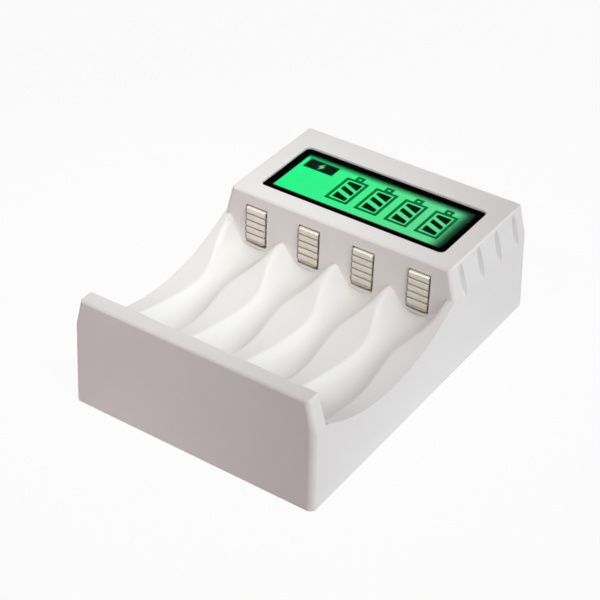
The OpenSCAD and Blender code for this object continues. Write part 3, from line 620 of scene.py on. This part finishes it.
placeSymbol("cellOutlines", frameArrays(bodies, symbols["line"], panelTop, printTop), outlineInk)
nubTop = printTop + symbols["nubLift"]
placeSymbol("cellNubs", frameArrays(nubs, symbols["nubLine"], panelTop, nubTop), outlineInk)
leftLow, rightLow, leftHigh, rightHigh = np.array(bars["edges"]).T
barX = np.tile([bars["left"], bars["right"], bars["right"], bars["left"]], (len(bars["edges"]), 1))
barShape = np.stack([barX, np.stack([leftLow, rightLow, rightHigh, leftHigh], axis=1)], axis=2)
barSet = (origin[:, None] + barShape[None] * cellSize).reshape(-1, 4, 2)
placeSymbol("chargeBars", plateArrays(barSet, panelTop, printTop), barInk)
tagSize = np.array([tag["right"] - tag["left"], tag["high"] - tag["low"]])
tagShape = np.array([tag["left"], tag["low"]]) + unitRect * tagSize
placeSymbol("statusTag", plateArrays(tagShape[None], panelTop, printTop), barInk)
boltShape = np.array(bolt["points"]) * bolt["scale"] + [bolt["midX"], bolt["midY"]]
placeSymbol("statusBolt", plateArrays(boltShape[None], printTop, printTop + symbols["print"]), boltInk)
print("panel symbols placed")


# one for what looks at the background: the camera, and rays by way of metal or glass
def seenMask(tree):
    path = addNode(tree, "ShaderNodeLightPath")
    seen = mathNode(tree, "MAXIMUM", path.outputs["Is Camera Ray"], path.outputs["Is Glossy Ray"])
    return mathNode(tree, "MAXIMUM", seen, path.outputs["Is Transmission Ray"])


# floor: plain white for the greater part, the rest paper that keeps the object's shadow
ground = dict(half=3.0, drop=0.02 * mm, colour=(0.86, 0.86, 0.86, 1), rough=0.9, plainShare=0.94)


def makeFloor():
    mesh = bpy.data.meshes.new("floor")
    corners = np.array([[-1, -1], [1, -1], [1, 1], [-1, 1]]) * ground["half"]
    mesh.from_pydata(np.c_[corners, np.full(4, -ground["drop"])].tolist(), [], [(0, 1, 2, 3)])
    made = bpy.data.objects.new("floor", mesh)
    scene.collection.objects.link(made)
    paper = bpy.data.materials.new("floorPaper")
    paper.use_nodes = True
    tree = paper.node_tree
    shader = tree.nodes["Principled BSDF"]
    shader.inputs["Base Color"].default_value = ground["colour"]
    shader.inputs["Roughness"].default_value = ground["rough"]
    plain = addNode(tree, "ShaderNodeEmission")
    plain.inputs["Strength"].default_value = 1.0
    mix = addNode(tree, "ShaderNodeMixShader")
    tree.links.new(mathNode(tree, "MULTIPLY", seenMask(tree), ground["plainShare"]), mix.inputs[0])
    tree.links.new(shader.outputs[0], mix.inputs[1])
    tree.links.new(plain.outputs[0], mix.inputs[2])
    tree.links.new(mix.outputs[0], tree.nodes["Material Output"].inputs["Surface"])
    mesh.materials.append(paper)


# lamps in metres, aimed at the middle of the object unless they have a target
middle = (0, 0, 0.015)
lamps = (
    dict(name="rightLow", place=(0.95, 0.0, 0.2), size=0.5, power=1.68, colour=(0.86, 1.0, 1.0)),
    dict(name="topSoft", place=(0.0, 0.0, 1.0), size=0.5, power=1.81, colour=(0.85, 1.0, 0.98)),
    dict(name="rightBack", place=(0.35, 0.35, 0.87), size=0.5, power=0.84, colour=(0.7, 1.0, 1.0)),
    dict(name="rightBackLow", place=(0.75, 0.5, 0.35), size=0.5, power=1.4, colour=(0.9, 1.0, 1.0)),
    dict(name="rightFrontLow", place=(0.75, -0.5, 0.35), size=0.5, power=1.61, colour=(1.0, 1.0, 0.98)),
    dict(name="baySpot", place=(0.45, -0.1, 0.85), target=(-0.035, -0.005, 0.02), cone=9.0, size=0.12, power=20.0,
         colour=(0.95, 1.0, 0.95)),
    dict(name="headSpot", place=(-0.2, -0.6, 0.7), target=(-0.02, 0.012, 0.022), cone=6.5, size=0.12, power=22.2,
         colour=(1.0, 0.97, 0.86)),
    dict(name="topSpot", place=(-0.45, 0.6, 0.6), target=(-0.035, 0.03, 0.029), cone=7.0, size=0.12, power=5.7,
         colour=(0.85, 0.97, 1.0)),
)
ambient = dict(colour=(0.121, 0.018, 0.037, 1), backdrop=(1, 1, 1, 1))
# the photograph's view, in millimetres
lens = dict(place=(194.2, -281.0, 270.6), target=(-1.58, -0.70, 14.93), focal=105.1, sensor=36.0, near=10.0)


def aim(made, target):
    way = Vector(target) - made.location
    made.rotation_euler = way.to_track_quat("-Z", "Y").to_euler()


def makeLamps():
    for lamp in lamps:
        light = bpy.data.lights.new(lamp["name"], "SPOT" if "cone" in lamp else "AREA")
        if "cone" in lamp:
            light.spot_size = math.radians(lamp["cone"])
            light.spot_blend = 1.0
            light.shadow_soft_size = lamp["size"] / 2
        else:
            light.shape = "DISK"
            light.size = lamp["size"]
        light.energy = lamp["power"]
        light.color = lamp["colour"]
        made = bpy.data.objects.new(lamp["name"], light)
        made.location = lamp["place"]
        scene.collection.objects.link(made)
        aim(made, lamp.get("target", middle))


def makeWorld():
    world = bpy.data.worlds.new("studio")
    scene.world = world
    world.use_nodes = True
    tree = world.node_tree
    shade = mixColour(tree, seenMask(tree), ambient["colour"], ambient["backdrop"])
    tree.links.new(shade, tree.nodes["Background"].inputs["Color"])


def makeCamera():
    camera = bpy.data.cameras.new("view")
    camera.lens = lens["focal"]
    camera.sensor_width = lens["sensor"]
    camera.sensor_fit = "HORIZONTAL"
    camera.clip_start = lens["near"] * mm
    made = bpy.data.objects.new("view", camera)
    made.location = [v * mm for v in lens["place"]]
    scene.collection.objects.link(made)
    aim(made, [v * mm for v in lens["target"]])
    scene.camera = made


makeFloor()
makeLamps()
makeWorld()
makeCamera()
print("floor, lamps and camera ready")
